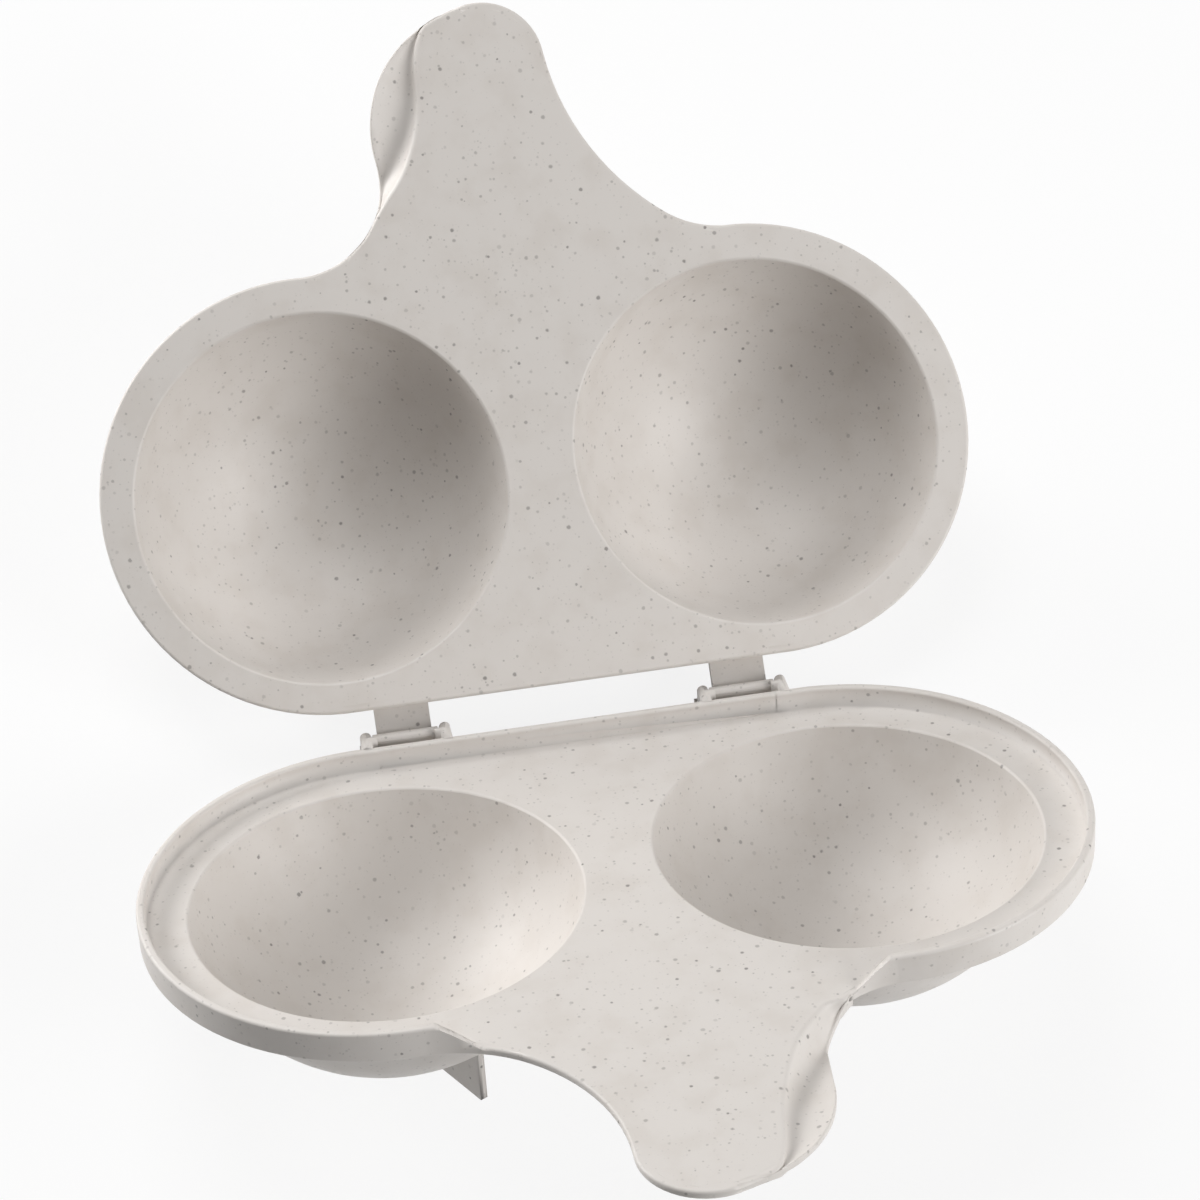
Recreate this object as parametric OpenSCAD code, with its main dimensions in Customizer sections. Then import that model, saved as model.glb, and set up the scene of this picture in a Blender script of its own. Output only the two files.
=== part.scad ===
// Two-cup microwave egg cooker: a rimmed base and a lid that hinge at the back,
// each with two round cups and a handle with a scooped thumb lobe.
// Each half is drawn flat, cups down and handle towards -Y, then set in the open pose.

/* [Cups] */
// Radius of each cup at its mouth
cup_r = 42; // [38:0.5:45]
// Depth of each cup below the plate face
cup_depth = 33.7; // [26:0.1:37]
// Distance between the two cup centres
cup_pitch = 100.2; // [98:0.1:110]
// Rounding between a cup and the plate face
lip_r = 0.8; // [0.4:0.1:1.2]

/* [Plates] */
// Thickness of every moulded wall
wall = 2; // [1.6:0.1:2.4]
// Radius of the lid plate around each cup
plate_r = 49.7; // [49:0.1:53]
// How far the plates lie towards the handle from the cup centres
plate_shift = 0.7; // [0:0.1:2]
// Rounding of the plate edges
edge_r = 0.7; // [0.3:0.1:0.75]

/* [Rim] */
// Gap all round between the lid plate and the rim of the base
rim_gap = 0.9; // [0.6:0.1:1.2]
// Thickness of the rim
rim_t = 1.9; // [1.6:0.1:2.4]
// Height of the rim above the plate face of the base
rim_h = 5; // [3.5:0.1:6]
// Distance from the middle to where the rim has come down to the plate
ramp_in = 38.5; // [36:0.5:42]
// Length of the ramp at each end of the rim
ramp_len = 8; // [5:0.5:10]

/* [Handle] */
// Distance from the cup centres to the centre of the handle tip
tip_reach = 94.3; // [88:0.1:104]
// Radius of the handle tip
tip_r = 14.2; // [12:0.1:17]
// Radius of the long hollow flank of the lid handle
lid_flank_r = 59; // [55:1:64]
// Turn of the lid flank where it leaves the tip
lid_flank_turn = -6; // [-9:0.5:-3]
// Radius where the lid flank runs into the plate
lid_root_r = 24; // [20:1:27]
// Radius of the long hollow flank of the base handle
base_flank_r = 41.5; // [39:0.5:44]
// Turn of the base flank where it leaves the tip
base_flank_turn = 2; // [0:0.5:4]
// Radius where the base flank runs into the rim
base_root_r = 32; // [29:0.5:34]
// Radius of the nose between the tip and the thumb lobe
nose_r = 38; // [34:0.5:44]
// Direction in which the tip turns into the nose
nose_from = -76; // [-80:0.5:-72]
// Direction in which the nose turns into the thumb lobe
nose_to = -54; // [-58:0.5:-50]
// Radius of the thumb lobe
lobe_r = 27; // [25:0.1:29]
// Radius of the waist between the lobe and the plate
waist_r = 21.3; // [16:0.1:23]

/* [Scoop] */
// Radius of the scoop's hollow section
scoop_r = 6.5; // [5.5:0.1:8]
// Depth of the scoop below the plate face at its reference line
scoop_depth = 4; // [2.5:0.1:5]
// Distance from the cup centres to that reference line
scoop_reach = 80; // [76:0.5:86]
// Slope of the scoop down towards the neck, in degrees
scoop_pitch = 8; // [5:0.5:9]
// Distance from the middle to the scoop's lowest line
scoop_out = 23.8; // [22:0.1:26]
// Thickness of the shell under the scoop
scoop_t = 1.5; // [1.3:0.1:2]
// Radius of the scoop's bend in plan
scoop_bend = 85; // [70:1:100]
// Direction of the scoop at its reference line, from the handle's own
scoop_turn = 23.3; // [18:0.1:28]

/* [Feet] */
// Reach of each foot web from its cup centre
foot_reach = 30.7; // [27:0.1:34]
// Direction of each foot web, from the cross line towards the handle
foot_turn = 62; // [50:1:75]
// Thickness of each foot web
foot_t = 1.7; // [1.2:0.1:2.4]

/* [Hinge] */
// Distance from the cup centres back to the hinge axis
axis_back = 56; // [56:0.1:58]
// Height of the hinge axis above the plate face of the base
axis_up = 3.6; // [3.2:0.1:3.8]
// Distance between the two hinge arms
hinge_pitch = 77.6; // [60:0.1:90]
// Width of each lid arm
arm_w = 12.4; // [10:0.1:16]
// Thickness of each lid arm where it bridges the rim
arm_t = 1.95; // [1.8:0.05:2.2]
// Radius of the moulded hinge barrel
barrel_r = 1.5; // [1.4:0.05:1.6]
// Length of the barrel stub on each side of an arm
stub_len = 1.2; // [1:0.1:1.6]
// Running clearance between a stub and its clip
run_gap = 0.08; // [0.05:0.01:0.1]
// Side clearance of the arms and stubs
side_gap = 0.35; // [0.25:0.05:0.5]
// Thickness of the clip around a stub
clip_t = 1.2; // [1:0.1:1.4]
// Thickness of the end wall beside each clip
cheek_t = 2.5; // [2:0.1:3]
// Width of the stop tongue behind each barrel
stop_w = 9; // [6:0.5:10]

/* [Pose] */
// Angle between the plate faces at the open stop
open_angle = 124; // [118:1:130]
// Gap between the plate faces when closed
seat_gap = 0.3; // [0.2:0.1:0.5]

/* [Hidden] */
$fn = 96;
skin = 0.02;
stone = [0.80, 0.78, 0.75];

// Cups: spheres cut by the plate face
cup_x = cup_pitch / 2;
ball_r = (cup_r * cup_r + cup_depth * cup_depth) / (2 * cup_depth);
ball_z = ball_r - cup_depth;
shell_r = ball_r + wall;
cup_floor = ball_z - shell_r;
foot_lift = 0.2;

// Body of the base plate, out to the outside of the rim
rim_out = rim_gap + rim_t;
base_r = plate_r + rim_out;
body_c = [cup_x, -plate_shift];
tip_c = [0, -tip_reach];

// Points and circles that touch each other
function dir(a) = [cos(a), sin(a)];
function angle_of(v) = atan2(v[1], v[0]);
function meet(p, rp, q, rq) =
    let (d = norm(q - p), u = (q - p) / d,
         along = (d * d + rp * rp - rq * rq) / (2 * d),
         off = sqrt(rp * rp - along * along))
    p + along * u + off * [u[1], -u[0]];

// Circle centres of the plain flank and of the lobe side, drawn towards +X
function flank_c(flank, turn) = tip_c + (flank + tip_r) * dir(turn);
function root_c(body, root, flank, turn) =
    meet(body_c, body + root, flank_c(flank, turn), flank - root);
nose_c = tip_c - (nose_r - tip_r) * dir(nose_from);
lobe_c = nose_c + (nose_r - lobe_r) * dir(nose_to);
function waist_c(body) = meet(lobe_c, lobe_r + waist_r, body_c, body + waist_r);

// Arcs from the back round to the tip as [centre, radius, start, end, sign,
// sink, lead, tail]. The sign is 1 for an arc that bulges outward and -1 for a
// hollow one. Where two arcs meet, the one with the larger sink ends inside the
// other, which runs on by its lead or tail in degrees.
run_on = 5;
ease_on = 1.5; // towards an arc that bulges the same way
function plain_side(body, root, flank, turn) =
    let (n = flank_c(flank, turn), a = root_c(body, root, flank, turn),
         at_body = angle_of(a - body_c), at_root = angle_of(a - n))
    [[body_c, body, 90, at_body, 1, 0, run_on, run_on],
     [a, root, at_body + 180, at_root, -1, 2 * skin, 0, 0],
     [n, flank, at_root, turn + 180, -1, skin, run_on, 0],
     [tip_c, tip_r, turn, -180 - nose_from, 1, 0, run_on, ease_on]];
function lobe_side(body) =
    let (w = waist_c(body), at_body = angle_of(w - body_c),
         at_lobe = angle_of(w - lobe_c))
    [[body_c, body, 90, at_body, 1, 0, run_on, run_on],
     [w, waist_r, at_body + 180, at_lobe + 180, -1, 2 * skin, 0, 0],
     [lobe_c, lobe_r, at_lobe, nose_to, 1, skin, run_on, ease_on],
     [nose_c, nose_r, nose_to, nose_from, 1, 2 * skin, 0, 0]];

lid_plain = plain_side(plate_r, lid_root_r, lid_flank_r, lid_flank_turn);
lid_lobe = lobe_side(plate_r);
base_plain = plain_side(base_r, base_root_r, base_flank_r, base_flank_turn);
base_lobe = lobe_side(base_r);

// Points along a list of arcs, grown outward by grow, up to step degrees apart
function side_points(arcs, grow, step) = [for (arc = arcs)
    let (n = ceil(abs(arc[3] - arc[2]) / step))
    for (i = [0:n - 1])
        arc[0] + (arc[1] + arc[4] * grow)
            * dir(arc[2] + (arc[3] - arc[2]) * (i + 0.5) / n)];
function mirrored(points) =
    [for (i = [len(points) - 1:-1:0]) [-points[i][0], points[i][1]]];

// How far the swept sections reach in from the edge
edge_in = 3;

// Core of a half, whose edge is hidden inside the swept sections
module core(lobe, plain) {
    step = 11;
    translate([0, 0, -wall]) linear_extrude(wall)
        polygon(concat(side_points(lobe, -edge_in / 2, step),
            mirrored(side_points(plain, -edge_in / 2, step))));
}

// Sweeps the edge or rim section along an arc
module sweep(arc, top = 0) {
    way = sign(arc[3] - arc[2]);
    from = arc[2] - way * arc[6];
    to = arc[3] + way * arc[7];
    translate([arc[0][0], arc[0][1], 0])
        rotate([0, 0, min(from, to)])
            rotate_extrude(angle = abs(to - from))
                translate([arc[1], 0]) scale([arc[4], 1])
                    edge_section(arc[5], top);
}
// The same along the straight back edge
module sweep_back(lobe, top = 0) {
    translate([-cup_x, body_c[1] + lobe[0][1], 0])
        rotate([90, 0, 90]) linear_extrude(cup_pitch)
            edge_section(skin, top);
}

// Section of the plate edge, or of the rim where top is its height. Its x runs
// outward from the edge, and sink draws its faces in.
function corner(x, z, start) =
    [for (i = [0:5]) [x, z] + edge_r * dir(start + 18 * i)];
module edge_section(sink, top) {
    lay = sink + skin / 2;
    low = corner(-edge_r - sink, edge_r - wall + lay, -90);
    high = corner(-edge_r - sink, top - edge_r - lay, 0);
    back = top > 0 ? concat(corner(edge_r - rim_t + sink, top - edge_r - lay, 90),
        [[sink - rim_t, -lay]]) : [];
    polygon(concat([[-edge_in, -lay], [-edge_in, lay - wall]], low, high, back));
}

// Space inside a cup, with its rounded lip
lip_x = sqrt(pow(ball_r + lip_r, 2) - pow(ball_z + lip_r, 2));
lip_end = angle_of([-lip_x, ball_z + lip_r]);
module cup_space() {
    intersection() {
        translate([0, 0, ball_z]) sphere(ball_r);
        translate([-ball_r, -ball_r, -cup_depth - 1])
            cube([2 * ball_r, 2 * ball_r, cup_depth + 1 - lip_r / 4]);
    }
    steps = 6;
    rotate_extrude() polygon(concat([[0, 1], [lip_x, 1]],
        [for (i = [0:steps - 1]) [lip_x, -lip_r]
            + lip_r * dir(90 + (lip_end - 90) * i / steps)],
        [[lip_x - 4, -3 * lip_r], [0, -3 * lip_r]]));
}

// Outside of a cup
module cup_outside() {
    intersection() {
        translate([0, 0, ball_z]) sphere(shell_r);
        translate([-shell_r, -shell_r, cup_floor - 1])
            cube([2 * shell_r, 2 * shell_r, -cup_floor + 1 - wall / 2]);
    }
}

// Web under a cup that reaches down to the level of its lowest point
module foot() {
    rotate([0, 0, -foot_turn])
        translate([0, -foot_t / 2, cup_floor + foot_lift])
            cube([foot_reach, foot_t, -cup_floor - foot_lift - wall / 2]);
}

// Scooped thumb lobe: a ring-shaped trough that deepens towards the neck
scoop_arc = 46;
scoop_end = 188;
scoop_low = 14;
module scoop_ring(grow) {
    translate([0, -scoop_reach, 0]) rotate([-scoop_pitch, 0, 0])
        translate(concat([scoop_out, 0] + scoop_bend * dir(-scoop_turn),
            [scoop_r - scoop_depth]))
            rotate([0, 0, scoop_end - scoop_arc]) rotate_extrude(angle = scoop_arc)
                translate([scoop_bend, 0]) circle(scoop_r + grow);
}
// Shell under the trough, cut just inside the outline of the lobe side
module lobe_shell(lobe) {
    inset = 0.1;
    difference() {
        intersection() {
            scoop_ring(scoop_t);
            translate([0, 0, -scoop_low]) linear_extrude(scoop_low - wall / 4)
                polygon(concat([[0, body_c[1]], body_c],
                    side_points([lobe[1], lobe[2], lobe[3]], -inset, run_on)));
        }
        scoop_ring(0);
    }
}

// Cup shells, with foot webs on the base
module half_solid(with_feet) {
    for (s = [-1, 1]) translate([s * cup_x, 0, 0]) cup_outside();
    if (with_feet) {
        translate([-cup_x, 0, 0]) foot();
        mirror([1, 0, 0]) translate([-cup_x, 0, 0]) foot();
    }
}
module cups() {
    for (s = [-1, 1]) translate([s * cup_x, 0, 0]) cup_space();
}

// Plate of the lid, with a rounded edge all round
module lid_plate() {
    core(lid_lobe, lid_plain);
    for (arc = lid_lobe) sweep(arc);
    mirror([1, 0, 0]) for (arc = lid_plain) sweep(arc);
    sweep_back(lid_lobe);
}

// Plate of the base: a rounded edge on the handle, the rim on the rest
module base_plate() {
    core(base_lobe, base_plain);
    for (i = [1:3]) sweep(base_lobe[i]);
    mirror([1, 0, 0]) for (i = [1:3]) sweep(base_plain[i]);
    for (arc = [base_lobe[0], sunk(base_lobe[1])]) cut_rim() sweep(arc, rim_h);
    for (arc = [base_plain[0], sunk(base_plain[1])])
        cut_rim() mirror([1, 0, 0]) sweep(arc, rim_h);
    sweep_back(base_lobe, rim_h);
}

// One band of the rim, cut down by the ramp and by the room for the closed lid
module cut_rim() {
    difference() {
        children();
        ramp();
        lid_space();
    }
}
// The same arc, sunk a little deeper
function sunk(arc) = [for (i = [0:7]) i == 5 ? arc[5] + skin : arc[i]];

// Space above the ramped ends of the rim
module ramp() {
    slope = ramp_len / rim_h;
    low = -wall - 1;
    high = rim_h + 1;
    translate([0, body_c[1] - plate_r / 2, 0]) rotate([90, 0, 0])
        linear_extrude(tip_reach)
            polygon([[-ramp_in - slope * high, high], [-ramp_in - slope * low, low],
                     [ramp_in + slope * low, low], [ramp_in + slope * high, high]]);
}
// Room for the handle of the closed lid between the ends of the rim
module lid_space() {
    room = rim_gap - 2 * skin; // short of the rim's inner face
    translate([0, 0, skin]) linear_extrude(rim_h + 1)
        polygon(concat(neck_points(lid_plain, room), mirrored(neck_points(lid_lobe, room))));
}
function neck_points(arcs, room) =
    let (body = arcs[0], start = body[3] + 12)
    side_points([[body[0], body[1], start, body[3], 1], arcs[1], arcs[2]], room, 4);

// Hinge
arm_gap = 0.05;
arm_low = rim_h + seat_gap + arm_gap;
arm_high = arm_low + arm_t;
arm_root = body_c[1] + plate_r - 4;
arm_post = 3.2;
swing_r = arm_high - axis_up + 0.3;
stub_x = arm_w / 2 + stub_len;
cheek_x = stub_x + side_gap;
bracket_y = body_c[1] + base_r - rim_t / 2;
floor_z = axis_up - swing_r - 0.1;
floor_end = axis_back + swing_r + 1.4;
clip_r = barrel_r + run_gap + clip_t;
cheek_top = rim_h + 0.7;
cheek_end = axis_back + 0.8;
stop_gap = 0.12;
stop_t = 2.2;
stop_up = 4.2;
stop_down = 6;

// Closed lid arm over the rim, in the frame of the base, around x = 0
module lid_arm() {
    translate([-arm_w / 2, 0, 0]) rotate([90, 0, 90]) linear_extrude(arm_w) {
        translate([arm_root, arm_low])
            square([axis_back - arm_root, arm_t]);
        translate([arm_root, seat_gap + wall / 2])
            square([arm_post, arm_high - seat_gap - wall / 2 - edge_r]);
        translate([axis_back - barrel_r, axis_up])
            square([2 * barrel_r, arm_high - barrel_r - axis_up]);
        translate([axis_back, arm_high - barrel_r]) circle(barrel_r, $fn = 48);
    }
    translate([-stub_x, axis_back, axis_up]) rotate([0, 90, 0])
        cylinder(r = barrel_r, h = 2 * stub_x);
}

// Bracket on the rim: cheeks, clips around the stubs, floor and stop tongue
module bracket() {
    width = 2 * (cheek_x + cheek_t);
    for (s = [-1, 1]) {
        translate([s * (arm_w / 2 + side_gap + cheek_x + cheek_t / 2) / 2, 0, 0])
            clip();
        translate([s * (cheek_x + cheek_t / 2), 0, 0]) cheek();
    }
    translate([-width / 2, bracket_y, floor_z - wall])
        cube([width, floor_end - bracket_y, wall]);
    stop_tongue();
}
// One clip, open upward and backward, as wide as the space beside the arm
module clip() {
    clip_w = cheek_x - arm_w / 2 - side_gap + cheek_t / 2;
    reach = 7;
    translate([-clip_w / 2, 0, 0]) rotate([90, 0, 90]) linear_extrude(clip_w)
        difference() {
            union() {
                translate([axis_back, axis_up]) circle(clip_r, $fn = 64);
                translate([bracket_y, floor_z - 0.1])
                    square([axis_back + clip_r - bracket_y, swing_r + 0.2]);
            }
            translate([axis_back, axis_up]) circle(barrel_r + run_gap, $fn = 64);
            translate([axis_back, axis_up])
                polygon(concat([[0, 0]], [for (a = [-15:35:125]) reach * dir(a)]));
        }
}
// End wall with a rounded top
module cheek() {
    round_z = cheek_top - cheek_t / 2;
    translate([0, cheek_end, 0]) rotate([90, 0, 0])
        linear_extrude(cheek_end - bracket_y) {
            translate([-cheek_t / 2, floor_z - wall / 2])
                square([cheek_t, round_z - floor_z + wall / 2]);
            translate([0, round_z]) circle(cheek_t / 2, $fn = 48);
        }
}
// Tongue that the arm's outer face meets at the open stop
module stop_tongue() {
    rest = arm_high - axis_up + stop_gap;
    lean = open_angle - 90;
    out = dir(-lean);
    up = dir(90 - lean);
    translate([-stop_w / 2, 0, 0]) rotate([90, 0, 90]) linear_extrude(stop_w)
        translate([axis_back, axis_up]) intersection() {
            polygon([rest * out - stop_down * up, rest * out + stop_up * up,
                     (rest + stop_t) * out + stop_up * up,
                     (rest + stop_t) * out - stop_down * up]);
            translate([0, floor_z - wall - axis_up])
                square([floor_end - axis_back + 4, 20]);
        }
}

// Pose: the pair rests on its four cups with the hinge on its open stop
lid_ball_z = seat_gap - ball_z;
function turned(v, a) = [v[0] * cos(a) - v[1] * sin(a), v[0] * sin(a) + v[1] * cos(a)];
base_ball = [-axis_back, ball_z - axis_up];
lid_ball = turned([-axis_back, lid_ball_z - axis_up], -open_angle);
lean_back = angle_of(lid_ball - base_ball);
axis_z = shell_r - turned(base_ball, -lean_back)[1];

// Ends of the pair along Y, at the rounded edges of the two handle tips
tip_end = tip_c[1] - tip_r + edge_r - axis_back;
base_end = turned([tip_end, edge_r - wall - axis_up], -lean_back)[0] - edge_r;
lid_end = turned([tip_end, seat_gap + wall - edge_r - axis_up],
    -lean_back - open_angle)[0] + edge_r;
axis_y = -(base_end + lid_end) / 2;

module base_place() {
    translate([0, axis_y, axis_z]) rotate([-lean_back, 0, 0])
        translate([0, -axis_back, -axis_up]) children();
}
module lid_place() {
    translate([0, axis_y, axis_z]) rotate([-lean_back - open_angle, 0, 0])
        translate([0, -axis_back, -axis_up]) children();
}

module base() {
    color(stone) base_place() {
        difference() {
            union() {
                difference() {
                    base_plate();
                    scoop_ring(0);
                }
                lobe_shell(base_lobe);
                half_solid(true);
            }
            cups();
        }
        for (s = [-1, 1]) translate([s * hinge_pitch / 2, 0, 0]) bracket();
    }
}

module lid() {
    color(stone) lid_place() {
        translate([0, 0, seat_gap]) rotate([0, 180, 0]) difference() {
            union() {
                difference() {
                    lid_plate();
                    scoop_ring(0);
                }
                lobe_shell(lid_lobe);
                half_solid(false);
            }
            cups();
        }
        for (s = [-1, 1]) translate([s * hinge_pitch / 2, 0, 0]) lid_arm();
    }
}

base();
lid();
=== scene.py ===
"""Dresses a two-cup microwave egg cooker in speckled stone plastic and sets up its studio.

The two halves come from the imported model, in metres. This script keeps their shape,
but for the thumb lobes beside the handles, which it makes in detail. It gives both
halves their moulded finish, then adds the floor, the lamps and the camera.
"""

import logging
import math
from dataclasses import dataclass, field
from enum import Enum
from typing import Any

import bmesh
import bpy
from mathutils import Matrix, Vector


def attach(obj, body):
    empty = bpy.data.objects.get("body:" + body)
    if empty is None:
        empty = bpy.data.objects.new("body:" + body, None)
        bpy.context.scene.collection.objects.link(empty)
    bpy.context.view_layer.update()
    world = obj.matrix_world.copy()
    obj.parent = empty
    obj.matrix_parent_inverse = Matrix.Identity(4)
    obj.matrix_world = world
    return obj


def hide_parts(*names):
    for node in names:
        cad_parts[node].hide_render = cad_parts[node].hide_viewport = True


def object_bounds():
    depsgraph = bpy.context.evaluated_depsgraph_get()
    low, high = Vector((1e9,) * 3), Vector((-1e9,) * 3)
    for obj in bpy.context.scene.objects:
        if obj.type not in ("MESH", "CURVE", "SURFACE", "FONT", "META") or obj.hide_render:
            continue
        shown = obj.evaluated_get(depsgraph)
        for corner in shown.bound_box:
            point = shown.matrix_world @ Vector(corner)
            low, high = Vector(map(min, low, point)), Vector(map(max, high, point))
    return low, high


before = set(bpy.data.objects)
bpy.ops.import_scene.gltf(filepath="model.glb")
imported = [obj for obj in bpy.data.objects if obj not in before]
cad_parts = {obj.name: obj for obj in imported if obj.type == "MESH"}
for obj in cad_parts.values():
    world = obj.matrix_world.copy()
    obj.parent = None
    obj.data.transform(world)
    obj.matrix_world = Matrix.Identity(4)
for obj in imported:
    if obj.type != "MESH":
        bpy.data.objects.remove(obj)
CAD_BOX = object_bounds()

log = logging.getLogger("egg_cooker")
Colour = tuple[float, float, float]
Triple = tuple[float, float, float]
Point = tuple[float, float]
Shape = tuple[list[Triple], list[tuple[int, ...]]]
Box = tuple[Vector, Vector]
MILLIMETRE = 0.001


def opaque(colour: Colour) -> tuple[float, float, float, float]:
    """Returns the colour with full alpha, as a colour socket takes it."""
    return (*colour, 1.0)


class Signal:
    """One output socket, on which sums are written as Python expressions."""

    def __init__(self, graph: "Graph", socket: bpy.types.NodeSocket) -> None:
        """Keeps the socket and the graph that it belongs to."""
        self.graph = graph
        self.socket = socket

    def out(self, name: str) -> "Signal":
        """Returns another output of the same node."""
        return Signal(self.graph, self.socket.node.outputs[name])

    def _with(self, operation: str, first: Any, second: Any) -> "Signal":
        """Returns a Math node's result for the two operands."""
        return self.graph.node(
            "ShaderNodeMath", {"operation": operation}, {0: first, 1: second}
        )

    def __add__(self, other: Any) -> "Signal":
        """Returns self + other."""
        return self._with("ADD", self, other)

    __radd__ = __add__

    def __sub__(self, other: Any) -> "Signal":
        """Returns self - other."""
        return self._with("SUBTRACT", self, other)

    def __rsub__(self, other: Any) -> "Signal":
        """Returns other - self."""
        return self._with("SUBTRACT", other, self)

    def __mul__(self, other: Any) -> "Signal":
        """Returns self * other."""
        return self._with("MULTIPLY", self, other)

    __rmul__ = __mul__

    def __truediv__(self, other: Any) -> "Signal":
        """Returns self / other."""
        return self._with("DIVIDE", self, other)

    def __rtruediv__(self, other: Any) -> "Signal":
        """Returns other / self."""
        return self._with("DIVIDE", other, self)


class Graph:
    """Adds nodes to one shader tree."""

    def __init__(self, tree: bpy.types.NodeTree) -> None:
        """Keeps the tree."""
        self.tree = tree

    def node(
        self,
        kind: str,
        settings: dict[str, Any] | None = None,
        inputs: dict[str | int, Any] | None = None,
        output: str | int = 0,
    ) -> Signal:
        """Adds a node, sets it up and wires it.

        Args:
            kind: The node's type name.
            settings: The node's own properties, set first.
            inputs: A value or a Signal for each input socket, by name or place.
            output: The output socket to return.

        Returns:
            The chosen output.
        """
        made = self.tree.nodes.new(kind)
        for name, value in (settings or {}).items():
            setattr(made, name, value)
        for key, value in (inputs or {}).items():
            if isinstance(value, Signal):
                self.tree.links.new(value.socket, made.inputs[key])
            else:
                made.inputs[key].default_value = value
        return Signal(self, made.outputs[output])

    def blend(self, share: Signal, under: Any, over: Any) -> Signal:
        """Returns the colour under, with over laid on it by share."""
        return self.node(
            "ShaderNodeMix",
            {"data_type": "RGBA"},
            {0: share, 6: under, 7: over},
            2,
        )

    def smooth(self, value: Signal, low: float, high: float) -> Signal:
        """Returns 0 where value is at low, 1 where it is at high, and a smooth step between."""
        return self.node(
            "ShaderNodeMapRange",
            {"interpolation_type": "SMOOTHSTEP"},
            {"Value": value, "From Min": low, "From Max": high},
        )

    def noise(self, place: Signal, grain: float, detail: float = 2.0) -> Signal:
        """Returns noise whose grain is that many metres across."""
        return self.node(
            "ShaderNodeTexNoise",
            {},
            {"Vector": place, "Scale": 1 / grain, "Detail": detail},
        )


@dataclass(frozen=True)
class Specks:
    """One size of mineral speck in the plastic.

    Attributes:
        cell: Spacing of the specks in metres.
        radius: Largest radius in cells.
        share: Share of the cells that hold a speck.
        strength: How fully the strongest speck covers the base colour.
        seed: Shift of the pattern in metres, so that the sizes don't line up.
        smallest: Radius of the smallest speck, as a share of the largest.
        core: Share of a speck's radius that is fully dark.
        faintest: Strength of the faintest speck, as a share of the strongest.
        doubt: Range of chance over which a cell's speck fades in.
    """

    cell: float
    radius: float
    share: float
    strength: float
    seed: float
    smallest: float = 0.5
    core: float = 0.45
    faintest: float = 0.25
    doubt: float = 0.02

    def cover(self, graph: Graph, place: Signal) -> Signal:
        """Returns how far the specks cover the surface, from 0 to 1."""
        shifted = graph.node(
            "ShaderNodeVectorMath",
            {"operation": "ADD"},
            {0: place, 1: (self.seed, -self.seed, self.seed)},
        )
        cells = graph.node(
            "ShaderNodeTexVoronoi",
            {"voronoi_dimensions": "3D", "feature": "F1"},
            {"Vector": shifted, "Scale": 1 / self.cell},
            "Distance",
        )
        chance = graph.node(
            "ShaderNodeSeparateColor", {}, {"Color": cells.out("Color")}, "Red"
        )
        size = self.radius * (self.smallest + (1 - self.smallest) * chance.out("Green"))
        shape = graph.smooth(cells / size, 1.0, self.core)
        present = graph.smooth(chance, self.share, self.share - self.doubt)
        tone = chance.out("Blue")
        depth = self.faintest + (1 - self.faintest) * tone * tone
        return shape * present * (self.strength * depth)


@dataclass(frozen=True)
class StonePlastic:
    """Matte injection-moulded plastic, filled with fine grey specks.

    Attributes:
        name: The material's name.
        base: Colour of the plastic, linear.
        shade: Colour of its faint darker clouds.
        speck: Colour of the specks.
        sizes: The sizes of speck, one layer each.
        cloud_width: Width of the clouds in metres.
        cloud_range: Noise values at which a cloud begins and is full.
        ragged_width: Width in metres of the ripples that make the specks uneven.
        ragged_reach: How far in metres those ripples shift a speck's edge.
        roughness: Mean roughness of the moulded face.
        roughness_swing: How far the roughness wanders.
        roughness_width: Width in metres of the patches that differ in roughness.
        grain: Width in metres of the fine grain of the mould's face.
        grain_height: Height in metres of that grain.
        grain_strength: Share of that height that shows.
        refraction: Index of refraction.
    """

    name: str
    base: Colour
    shade: Colour
    speck: Colour
    sizes: tuple[Specks, ...]
    cloud_width: float = 0.009
    cloud_range: Point = (0.42, 0.72)
    ragged_width: float = 0.0005
    ragged_reach: float = 0.00028
    roughness: float = 0.5
    roughness_swing: float = 0.08
    roughness_width: float = 0.011
    grain: float = 0.00035
    grain_height: float = 0.000012
    grain_strength: float = 0.5
    refraction: float = 1.49

    def material(self) -> bpy.types.Material:
        """Returns the material, built from nodes alone."""
        made = bpy.data.materials.new(self.name)
        made.use_nodes = True
        graph = Graph(made.node_tree)
        shader = made.node_tree.nodes["Principled BSDF"]
        place = graph.node("ShaderNodeTexCoord", output="Object")
        links = made.node_tree.links
        links.new(self._colour(graph, place).socket, shader.inputs["Base Color"])
        wander = graph.noise(place, self.roughness_width)
        rough = self.roughness + self.roughness_swing * (wander - 0.5)
        links.new(rough.socket, shader.inputs["Roughness"])
        links.new(self._normal(graph, place).socket, shader.inputs["Normal"])
        shader.inputs["IOR"].default_value = self.refraction
        return made

    def _colour(self, graph: Graph, place: Signal) -> Signal:
        """Returns the clouded base colour with its specks."""
        clouds = graph.smooth(graph.noise(place, self.cloud_width, 4.0), *self.cloud_range)
        colour = graph.blend(clouds, opaque(self.base), opaque(self.shade))
        ragged = graph.node(
            "ShaderNodeVectorMath",
            {"operation": "MULTIPLY_ADD"},
            {
                0: graph.noise(place, self.ragged_width).out("Color"),
                1: (self.ragged_reach,) * 3,
                2: place,
            },
        )
        for size in self.sizes:
            colour = graph.blend(size.cover(graph, ragged), colour, opaque(self.speck))
        return colour

    def _normal(self, graph: Graph, place: Signal) -> Signal:
        """Returns the normal with the mould's fine grain."""
        return graph.node(
            "ShaderNodeBump",
            {},
            {
                "Strength": self.grain_strength,
                "Distance": self.grain_height,
                "Height": graph.noise(place, self.grain, 3.0),
            },
        )


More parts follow.
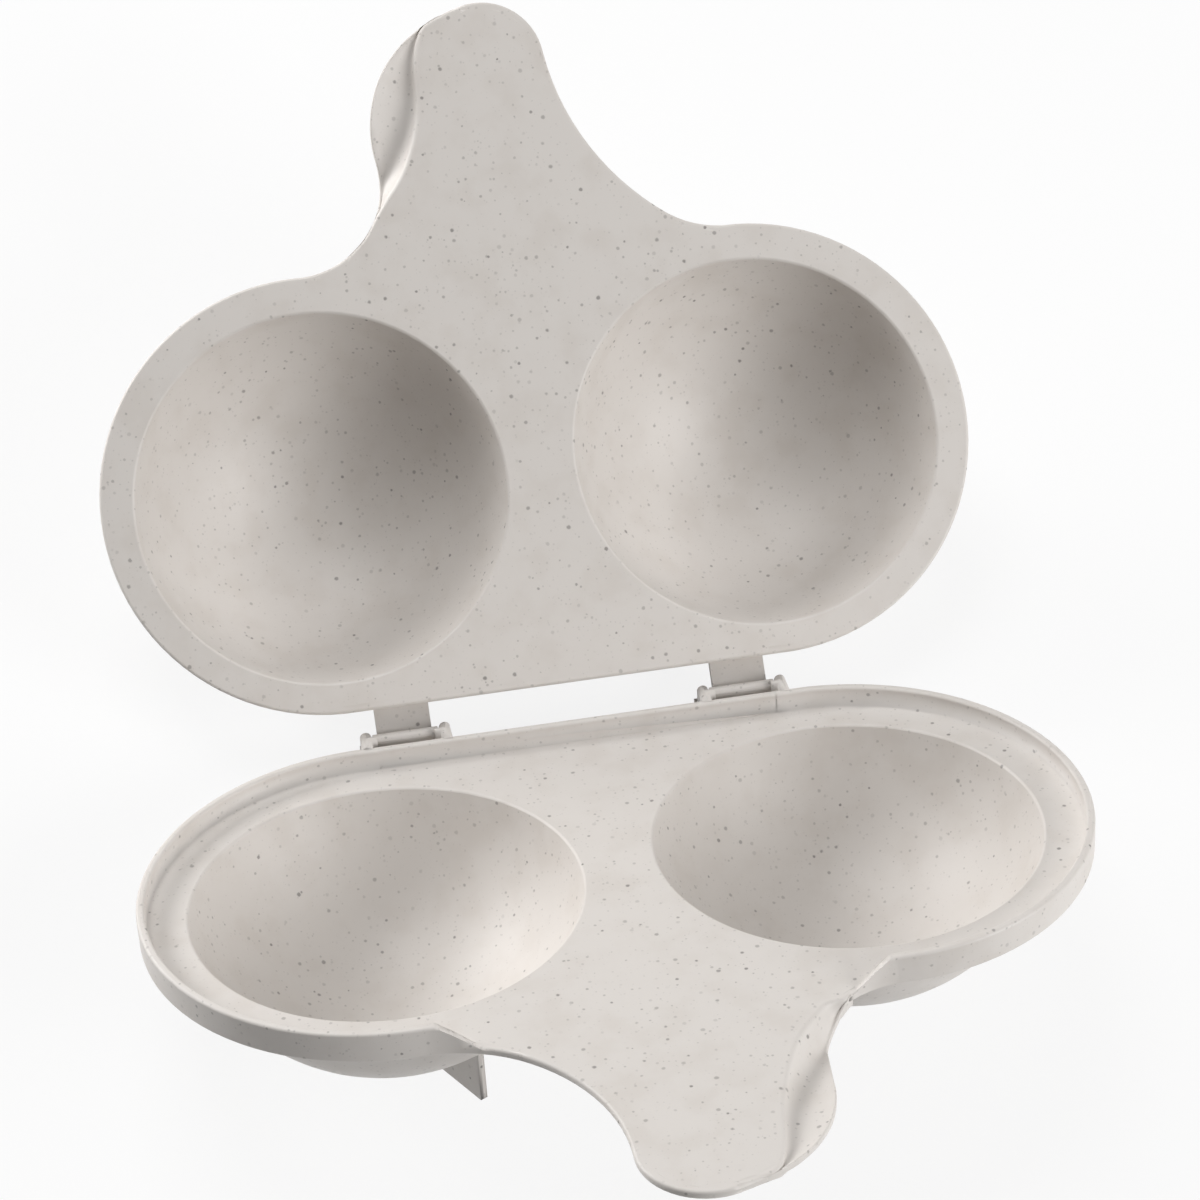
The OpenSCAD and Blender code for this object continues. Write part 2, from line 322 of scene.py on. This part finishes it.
STONE = StonePlastic(
    name="speckled_stone_plastic",
    base=(0.672, 0.636, 0.602),
    shade=(0.640, 0.600, 0.562),
    speck=(0.17, 0.155, 0.145),
    sizes=(
        Specks(cell=0.0026, radius=0.25, share=0.75, strength=0.80, seed=0.013),
        Specks(cell=0.0018, radius=0.25, share=0.75, strength=0.50, seed=0.029),
        Specks(cell=0.0011, radius=0.27, share=0.70, strength=0.24, seed=0.041),
    ),
)


@dataclass(frozen=True)
class Station:
    """One cross-section of the thumb lobe, in millimetres in the half's own frame.

    Attributes:
        outer: Point of the lobe's outline.
        edge: Point where the plate's face rolls over into the lobe's wall.
        margin: How far inside the edge the moulded plate is cut away.
        valley: Height of the lowest line of the lobe.
        brim: Height of the lobe's face at its outline.
    """

    outer: Point
    edge: Point
    margin: float
    valley: float
    brim: float

    def values(self) -> tuple[float, ...]:
        """Returns the station as plain numbers."""
        return (*self.outer, *self.edge, self.margin, self.valley, self.brim)


@dataclass(frozen=True)
class SectionRules:
    """Small measures of the lobe's cross-sections, in millimetres.

    Attributes:
        full_width: Width from which a section has its full edge radius and slope.
        least_radius: Radius of the rolled edge where the section is narrowest.
        lead: How far inside the edge the roll starts, in radii.
        roll_steps: Faces round the rolled edge.
        floor_steps: Faces down the wall and over the floor.
        upright: Share of the full width below which the wall drops straight down.
        tuck: How far a section's hidden end reaches past the cut.
        sink: How far that end lies below the plate's face, and above its underside.
        lay: How far the face lies below the plate's where it meets the cut.
        land: Width of the outline's flat top.
        nib: Width and drop of the small slope on the outline's corner.
        corner: Size of the outline's upright corners.
        haunch: How far the underside slopes back to the plate's.
        haunch_rise: Height of that slope's end, as a share of the valley's.
    """

    full_width: float = 4.5
    least_radius: float = 0.7
    lead: float = 0.3
    roll_steps: int = 6
    floor_steps: int = 12
    upright: float = 0.2
    tuck: float = 0.8
    sink: float = 0.06
    lay: float = 0.004
    land: float = 0.35
    nib: Point = (0.1, 0.12)
    corner: float = 0.4
    haunch: float = 1.1
    haunch_rise: float = 0.5


@dataclass(frozen=True)
class ThumbLobe:
    """The scooped lobe beside a handle: a rolled edge, a steep wall and a rising floor.

    Attributes:
        stations: The cross-sections, from the neck to the tip. The first and the last
            are roots, which end inside the plate.
        edge_radius: Radius of the rolled edge, in millimetres.
        slope: Steepness of the wall in degrees.
        shell: Thickness of the lobe.
        plate: Thickness of the plate.
        steps: Sections made between two stations.
        rules: The small measures of a section.
    """

    stations: tuple[Station, ...]
    edge_radius: float = 1.5
    slope: float = 65.0
    shell: float = 1.6
    plate: float = 2.0
    steps: int = 5
    rules: SectionRules = SectionRules()

    def _rows(self) -> list[list[float]]:
        """Returns the stations with smooth ones added between them."""
        known = [station.values() for station in self.stations]
        last = len(known) - 1
        rows = []
        for i in range(last):
            span = (known[max(i - 1, 0)], known[i], known[i + 1], known[min(i + 2, last)])
            for step in range(self.steps):
                t = step / self.steps
                rows.append([smooth_between(*values, t) for values in zip(*span)])
        rows.append(list(known[-1]))
        return rows

    def _section(self, width: float, margin: float, valley: float, brim: float) -> list[Point]:
        """Returns one closed section as distances out from the edge and heights.

        Args:
            width: Distance from the edge to the outline.
            margin: How far inside the edge the plate is cut away.
            valley: Height of the lowest line.
            brim: Height of the face at the outline.

        Returns:
            The points, from the hidden inner end over the face and back below it.
        """
        rules = self.rules
        share = min(1.0, width / rules.full_width)
        radius = rules.least_radius + (self.edge_radius - rules.least_radius) * share
        start = min(-rules.lead * radius, width - radius)
        turn = math.radians(self.slope + (90 - self.slope) * (1 - share))
        hidden = -margin - rules.tuck

        face = [(hidden, -rules.sink), (-margin, -rules.lay), (start, 0.0)]
        for i in range(1, rules.roll_steps + 1):
            angle = turn * i / rules.roll_steps
            face.append((start + radius * math.sin(angle), radius * (math.cos(angle) - 1)))

        wall_x, wall_z = face[-1]
        foot_x = width
        if share > rules.upright:
            foot_x = min(wall_x + (wall_z - valley) / math.tan(turn), width)
        foot = (foot_x, valley)
        rim = (max(width - rules.land, foot_x), min(brim, 0.0))
        for i in range(1, rules.floor_steps + 1):
            face.append(curve_between((wall_x, wall_z), foot, rim, i / rules.floor_steps))

        top = face[-1][1]
        low = min(-self.plate, top - self.shell)
        face += [(width - rules.nib[0], top - rules.nib[1]), (width, top - rules.corner)]
        face += [(width, low + rules.corner), (width - rules.land, low)]

        deep = min(-self.plate, min(valley, brim) - self.shell)
        back = min(foot_x, width - rules.corner)
        haunch = min(-self.plate, valley * rules.haunch_rise)
        face += [(back, deep), (min(back, 0.0) - rules.haunch, haunch)]
        face.append((hidden, rules.sink - self.plate))
        return face

    def shape(self) -> Shape:
        """Returns the points and faces of the lobe, in millimetres."""
        points: list[Triple] = []
        faces: list[tuple[int, ...]] = []
        rows = self._rows()
        for row in rows:
            outer, edge = Vector(row[0:2]), Vector(row[2:4])
            out = outer - edge
            width = out.length
            out.normalize()
            for x, z in self._section(width, row[4], row[5], row[6]):
                place = edge + out * x
                points.append((place.x, place.y, z))
        count = len(points) // len(rows)
        final = len(points) - count
        for here in range(0, final, count):
            there = here + count
            for j in range(count):
                k = (j + 1) % count
                faces.append((here + j, here + k, there + k, there + j))
        faces.append(tuple(range(count)))
        faces.append(tuple(range(final, final + count))[::-1])
        return points, faces

    def clearing(self, reach: float = 6.0, low: float = -16.0, high: float = 2.0) -> Shape:
        """Builds the block that is cut away for the lobe, in millimetres.

        Args:
            reach: How far it stands out past the outline.
            low: Height of its underside.
            high: Height of its top.

        Returns:
            Its points and faces.
        """
        inner, outer = [], []
        for row in self._rows()[self.steps : -self.steps]:
            rim, edge = Vector(row[0:2]), Vector(row[2:4])
            out = (rim - edge).normalized()
            inner.append(edge - out * row[4])
            outer.append(rim + out * reach)
        ring = inner + outer[::-1]
        points = [(p.x, p.y, z) for z in (low, high) for p in ring]
        n, half = len(ring), len(inner)
        faces = [(i, (i + 1) % n, n + (i + 1) % n, n + i) for i in range(n)]
        for i in range(half - 1):
            a, b, c, d = i, i + 1, n - 2 - i, n - 1 - i
            faces += [(a, d, c, b), (n + a, n + b, n + c, n + d)]
        return points, faces


def smooth_between(a: float, b: float, c: float, d: float, t: float) -> float:
    """Returns the value between b and c at t on the smooth curve through all four."""
    return b + 0.5 * t * (c - a + t * (2 * a - 5 * b + 4 * c - d + t * (3 * (b - c) + d - a)))


def curve_between(a: Point, b: Point, c: Point, t: float) -> Point:
    """Returns the point at t on the curve from a to c that b pulls."""
    first, second, third = (1 - t) ** 2, 2 * t * (1 - t), t**2
    return (
        first * a[0] + second * b[0] + third * c[0],
        first * a[1] + second * b[1] + third * c[1],
    )


def solid(name: str, shape: Shape, place: Matrix) -> bpy.types.Object:
    """Makes an object of points in millimetres, set at the place in metres.

    Args:
        name: The object's name.
        shape: Its points and faces.
        place: The turn and shift from the half's own frame to the model's.

    Returns:
        The linked object, with its faces turned outward.
    """
    points, faces = shape
    mesh = bpy.data.meshes.new(name)
    mesh.from_pydata([place @ Vector(p) * MILLIMETRE for p in points], [], faces)
    work = bmesh.new()
    work.from_mesh(mesh)
    bmesh.ops.recalc_face_normals(work, faces=work.faces)
    work.to_mesh(mesh)
    work.free()
    made = bpy.data.objects.new(name, mesh)
    bpy.context.scene.collection.objects.link(made)
    return made


@dataclass
class Half:
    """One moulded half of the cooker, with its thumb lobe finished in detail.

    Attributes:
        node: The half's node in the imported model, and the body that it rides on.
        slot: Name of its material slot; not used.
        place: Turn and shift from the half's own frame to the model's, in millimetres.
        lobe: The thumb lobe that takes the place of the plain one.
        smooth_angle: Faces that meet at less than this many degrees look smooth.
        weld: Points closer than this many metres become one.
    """

    node: str
    slot: str
    place: Matrix
    lobe: ThumbLobe
    smooth_angle: float = 32.0
    weld: float = 0.003 * MILLIMETRE

    def build(self, material: bpy.types.Material) -> bpy.types.Object:
        """Copies the half, cuts its plain lobe away and sets the detailed one in.

        Args:
            material: The built finish, shared by both halves.

        Returns:
            The half's piece.
        """
        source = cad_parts[self.node]
        piece = bpy.data.objects.new(f"{self.node}_half", source.data.copy())
        bpy.context.scene.collection.objects.link(piece)
        self._cut(piece, solid(f"{self.node}_clearing", self.lobe.clearing(), self.place))
        self._join(piece, solid(f"{self.node}_lobe", self.lobe.shape(), self.place))
        piece.data.materials.clear()
        piece.data.materials.append(material)
        self._smooth(piece)
        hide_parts(self.node)
        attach(piece, self.node)
        return piece

    def _cut(self, piece: bpy.types.Object, cutter: bpy.types.Object) -> None:
        """Cuts the cutter's shape out of the piece and removes the cutter."""
        cut = piece.modifiers.new("clearing", "BOOLEAN")
        cut.operation = "DIFFERENCE"
        cut.solver = "EXACT"
        cut.object = cutter
        self._apply(piece)
        bpy.data.objects.remove(cutter, do_unlink=True)

    def _smooth(self, piece: bpy.types.Object) -> None:
        """Shades round faces smooth and flat ones flat, with one material on them all."""
        for face in piece.data.polygons:
            face.material_index = 0
            face.use_smooth = True
        piece.data.set_sharp_from_angle(angle=math.radians(self.smooth_angle))
        even = piece.modifiers.new("even_faces", "WEIGHTED_NORMAL")
        even.keep_sharp = True
        even.weight = 100
        self._apply(piece)

    def _apply(self, piece: bpy.types.Object) -> None:
        """Turns the piece's modifiers into its mesh."""
        depsgraph = bpy.context.evaluated_depsgraph_get()
        made = bpy.data.meshes.new_from_object(piece.evaluated_get(depsgraph))
        piece.modifiers.clear()
        piece.data = made

    def _join(self, piece: bpy.types.Object, part: bpy.types.Object) -> None:
        """Adds the part's mesh to the piece and removes the part."""
        work = bmesh.new()
        work.from_mesh(piece.data)
        work.from_mesh(part.data)
        bmesh.ops.remove_doubles(work, verts=work.verts, dist=self.weld)
        work.to_mesh(piece.data)
        work.free()
        bpy.data.objects.remove(part, do_unlink=True)


@dataclass(frozen=True)
class RestPose:
    """How the two halves lie at rest, in millimetres and degrees.

    Attributes:
        axis: Place of the hinge axis in the model's frame.
        lean: How far the base leans back.
        opening: Angle between the faces of the two halves.
        axis_back: Distance from the cup centres back to the axis.
        axis_up: Height of the axis above the base's face.
        gap: Gap between the faces when closed.
    """

    axis: Triple = (0.0, -3.4755, 10.6022)
    lean: float = 31.8607
    opening: float = 124.0
    axis_back: float = 56.0
    axis_up: float = 3.6
    gap: float = 0.3

    def _hinged(self, angle: float) -> Matrix:
        """Returns the place of what hangs on the hinge at that angle."""
        turn = Matrix.Rotation(math.radians(-angle), 4, "X")
        back = Matrix.Translation((0, -self.axis_back, -self.axis_up))
        return Matrix.Translation(self.axis) @ turn @ back

    def base(self) -> Matrix:
        """Returns the place of the base's own frame."""
        return self._hinged(self.lean)

    def lid(self) -> Matrix:
        """Returns the place of the lid's own frame, which is the base's turned over."""
        over = Matrix.Translation((0, 0, self.gap)) @ Matrix.Rotation(math.pi, 4, "Y")
        return self._hinged(self.lean + self.opening) @ over


BASE_LOBE = ThumbLobe(
    stations=(
        Station((37.88, -55.78), (37.48, -55.09), 1.0, -1.8, -0.35),
        Station((36.46, -57.04), (36.25, -56.70), 1.2, -2.0, -0.3),
        Station((33.62, -59.42), (31.70, -57.60), 3.8, -4.0, -3.4),
        Station((31.40, -62.30), (28.30, -60.90), 3.4, -5.6, -5.3),
        Station((30.05, -65.60), (25.20, -64.60), 2.2, -6.0, -5.5),
        Station((29.55, -69.05), (22.70, -68.50), 1.4, -6.0, -5.0),
        Station((29.10, -72.75), (20.90, -72.30), 1.1, -5.8, -4.3),
        Station((28.55, -77.05), (19.20, -76.60), 1.0, -5.5, -3.4),
        Station((27.95, -82.05), (17.60, -81.40), 1.0, -5.2, -2.3),
        Station((26.90, -86.64), (16.30, -85.70), 1.0, -4.7, -1.3),
        Station((25.37, -91.09), (15.30, -89.80), 1.1, -4.2, -0.8),
        Station((23.09, -95.20), (14.70, -93.40), 1.1, -3.6, -0.6),
        Station((20.13, -98.86), (14.10, -96.60), 1.0, -2.9, -0.6),
        Station((16.58, -101.95), (13.20, -99.90), 1.0, -2.0, -0.6),
        Station((14.38, -103.43), (12.50, -102.20), 0.9, -1.4, -0.5),
        Station((12.08, -104.76), (11.40, -104.20), 0.8, -0.9, -0.4),
        Station((9.70, -105.92), (9.50, -105.48), 0.6, -0.5, -0.3),
        Station((7.15, -106.68), (6.90, -105.95), 0.5, -0.5, -0.35),
    )
)
LID_LOBE = ThumbLobe(
    stations=(
        Station((37.49, -53.01), (37.09, -52.32), 1.0, -1.8, -0.35),
        Station((36.05, -54.23), (35.88, -53.98), 1.2, -2.0, -0.3),
        Station((33.20, -56.62), (32.99, -56.41), 3.6, -2.0, -0.3),
        Station((30.82, -59.46), (30.50, -59.24), 3.8, -2.0, -0.4),
        Station((28.96, -62.67), (28.20, -62.30), 3.0, -2.4, -1.4),
        Station((27.69, -66.16), (25.50, -65.90), 1.6, -4.0, -3.5),
        Station((27.05, -69.82), (22.60, -69.40), 1.2, -5.0, -4.6),
        Station((27.05, -73.53), (20.20, -73.20), 1.1, -5.2, -4.2),
        Station((27.67, -78.69), (17.90, -78.40), 1.0, -5.2, -3.2),
        Station((27.50, -83.40), (16.40, -83.00), 1.0, -4.9, -2.0),
        Station((26.50, -88.00), (15.60, -87.30), 1.1, -4.5, -1.2),
        Station((24.77, -92.36), (15.35, -91.30), 1.3, -4.0, -0.8),
        Station((22.27, -96.36), (15.20, -94.80), 1.4, -3.3, -0.7),
        Station((19.12, -99.85), (14.70, -98.10), 1.2, -2.4, -0.6),
        Station((16.58, -101.95), (13.90, -100.90), 1.1, -1.6, -0.5),
        Station((13.24, -104.10), (12.50, -103.60), 0.9, -0.9, -0.4),
        Station((9.70, -105.92), (9.55, -105.60), 0.6, -0.5, -0.3),
        Station((7.15, -106.68), (6.90, -105.95), 0.5, -0.5, -0.35),
    )
)


class Side(Enum):
    """The directions that the lamps shine from, seen from the object."""

    LOW_BACK_LEFT = (-0.75, 0.65, 0.25)
    FRONT_RIGHT = (0.8, -0.5, 0.5)
    HIGH_BACK = (-0.15, 0.5, 0.85)


@dataclass(frozen=True)
class Lamp:
    """A soft square lamp.

    Attributes:
        side: The direction that it stands in.
        level: The light that it gives a surface facing it, where 1 shows a colour as written.
        size: Edge length in metres.
        distance: Distance from the object in metres.
    """

    side: Side
    level: float
    size: float
    distance: float = 1.2

    def hang(self, aim: Vector) -> bpy.types.Object:
        """Adds the lamp, turned to shine at the point aim."""
        light = bpy.data.lights.new(self.side.name.lower(), "AREA")
        light.size = self.size
        light.energy = self.level * (math.pi * self.distance) ** 2
        lamp = bpy.data.objects.new(light.name, light)
        bpy.context.scene.collection.objects.link(lamp)
        away = Vector(self.side.value).normalized()
        lamp.location = aim + away * self.distance
        lamp.rotation_euler = away.to_track_quat("Z", "Y").to_euler()
        return lamp


@dataclass(frozen=True)
class PhotoCamera:
    """The photograph's camera, in the frame of the model.

    Attributes:
        place: Where it stands, in metres.
        right: Its sideways axis.
        up: Its upward axis.
        back: The axis that points away from what it sees.
        lens: Focal length in millimetres.
        film: Film width in millimetres.
        near: Distance in metres from which it sees.
    """

    place: Triple = (-0.081809, -0.327743, 0.688105)
    right: Triple = (0.98350, -0.17566, 0.04317)
    up: Triple = (0.13497, 0.87152, 0.47141)
    back: Triple = (-0.12043, -0.45781, 0.88086)
    lens: float = 99.63
    film: float = 36.0
    near: float = 0.01

    def set_up(self) -> bpy.types.Object:
        """Adds the camera and makes it the scene's."""
        data = bpy.data.cameras.new("photo_camera")
        data.lens = self.lens
        data.sensor_width = self.film
        data.clip_start = self.near
        camera = bpy.data.objects.new("photo_camera", data)
        bpy.context.scene.collection.objects.link(camera)
        turn = Matrix((self.right, self.up, self.back)).transposed()
        camera.matrix_world = Matrix.Translation(self.place) @ turn.to_4x4()
        bpy.context.scene.camera = camera
        return camera


@dataclass
class Studio:
    """A white floor, soft lamps, an even world and the camera.

    Attributes:
        floor_size: Half the floor's width in metres.
        floor_gap: Gap in metres between the floor and the object.
        floor_colour: Colour of the floor.
        glow: Share of plain white that the camera sees in the floor.
        world_level: Level of the even light from all round.
        lamps: The lamps.
        camera: The camera.
    """

    floor_size: float = 4.0
    floor_gap: float = 0.0001
    floor_colour: Colour = (0.86, 0.86, 0.86)
    glow: float = 0.86
    world_level: float = 0.06
    lamps: tuple[Lamp, ...] = (
        Lamp(Side.LOW_BACK_LEFT, level=0.86, size=0.55),
        Lamp(Side.FRONT_RIGHT, level=0.76, size=0.6),
        Lamp(Side.HIGH_BACK, level=0.46, size=0.6),
    )
    camera: PhotoCamera = field(default_factory=PhotoCamera)

    def floor(self) -> bpy.types.Object:
        """Adds the floor just under the object and returns it."""
        reach = self.floor_size
        mesh = bpy.data.meshes.new("floor")
        corners = ((-1, -1), (1, -1), (1, 1), (-1, 1))
        mesh.from_pydata([(x * reach, y * reach, 0) for x, y in corners], [], [(0, 1, 2, 3)])
        mesh.materials.append(self._floor_material())
        floor = bpy.data.objects.new("floor", mesh)
        floor.location.z = CAD_BOX[0][2] - self.floor_gap
        bpy.context.scene.collection.objects.link(floor)
        return floor

    def _seen(self, graph: Graph) -> Signal:
        """Returns 1 for what the camera sees itself, in gloss or through glass."""
        path = graph.node("ShaderNodeLightPath", output="Is Camera Ray")
        direct = graph.node(
            "ShaderNodeMath",
            {"operation": "MAXIMUM"},
            {0: path, 1: path.out("Is Glossy Ray")},
        )
        return graph.node(
            "ShaderNodeMath",
            {"operation": "MAXIMUM"},
            {0: direct, 1: path.out("Is Transmission Ray")},
        )

    def _floor_material(self) -> bpy.types.Material:
        """Returns a pale matte floor that reads as white and keeps its shadows."""
        made = bpy.data.materials.new("pale_floor")
        made.use_nodes = True
        tree = made.node_tree
        tree.nodes.clear()
        graph = Graph(tree)
        matte = graph.node("ShaderNodeBsdfDiffuse", {}, {"Color": opaque(self.floor_colour)})
        white = graph.node("ShaderNodeEmission", {}, {"Strength": 1.0})
        shown = graph.node(
            "ShaderNodeMixShader",
            {},
            {0: self._seen(graph) * self.glow, 1: matte, 2: white},
        )
        output = tree.nodes.new("ShaderNodeOutputMaterial")
        tree.links.new(shown.socket, output.inputs["Surface"])
        return made

    def world(self) -> bpy.types.World:
        """Sets the even light from all round, which the camera sees as white."""
        world = bpy.data.worlds.new("even_light")
        world.use_nodes = True
        tree = world.node_tree
        graph = Graph(tree)
        back = tree.nodes["Background"]
        back.inputs["Color"].default_value = (1, 1, 1, 1)
        level = self.world_level + (1 - self.world_level) * self._seen(graph)
        tree.links.new(level.socket, back.inputs["Strength"])
        bpy.context.scene.world = world
        return world

    def set_up(self, aim: Vector) -> None:
        """Builds the whole studio around the point aim."""
        self.world()
        self.floor()
        for lamp in self.lamps:
            hung = lamp.hang(aim)
            log.info("lamp %s at %s", hung.name, tuple(round(v, 3) for v in hung.location))
        self.camera.set_up()
        bpy.context.scene.view_settings.view_transform = "Standard"


def middle(box: Box) -> Vector:
    """Returns the middle point of a box."""
    return (Vector(box[0]) + Vector(box[1])) / 2


def main() -> None:
    """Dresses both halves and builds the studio."""
    logging.basicConfig(level=logging.INFO, format="%(name)s: %(message)s")
    stone = STONE.material()
    pose = RestPose()
    for half in (
        Half("base", "stone_base", pose.base(), BASE_LOBE),
        Half("lid", "stone_lid", pose.lid(), LID_LOBE),
    ):
        piece = half.build(stone)
        log.info("%s: %d faces in %s", piece.name, len(piece.data.polygons), stone.name)
    Studio().set_up(middle(CAD_BOX))


if __name__ == "__main__":
    main()
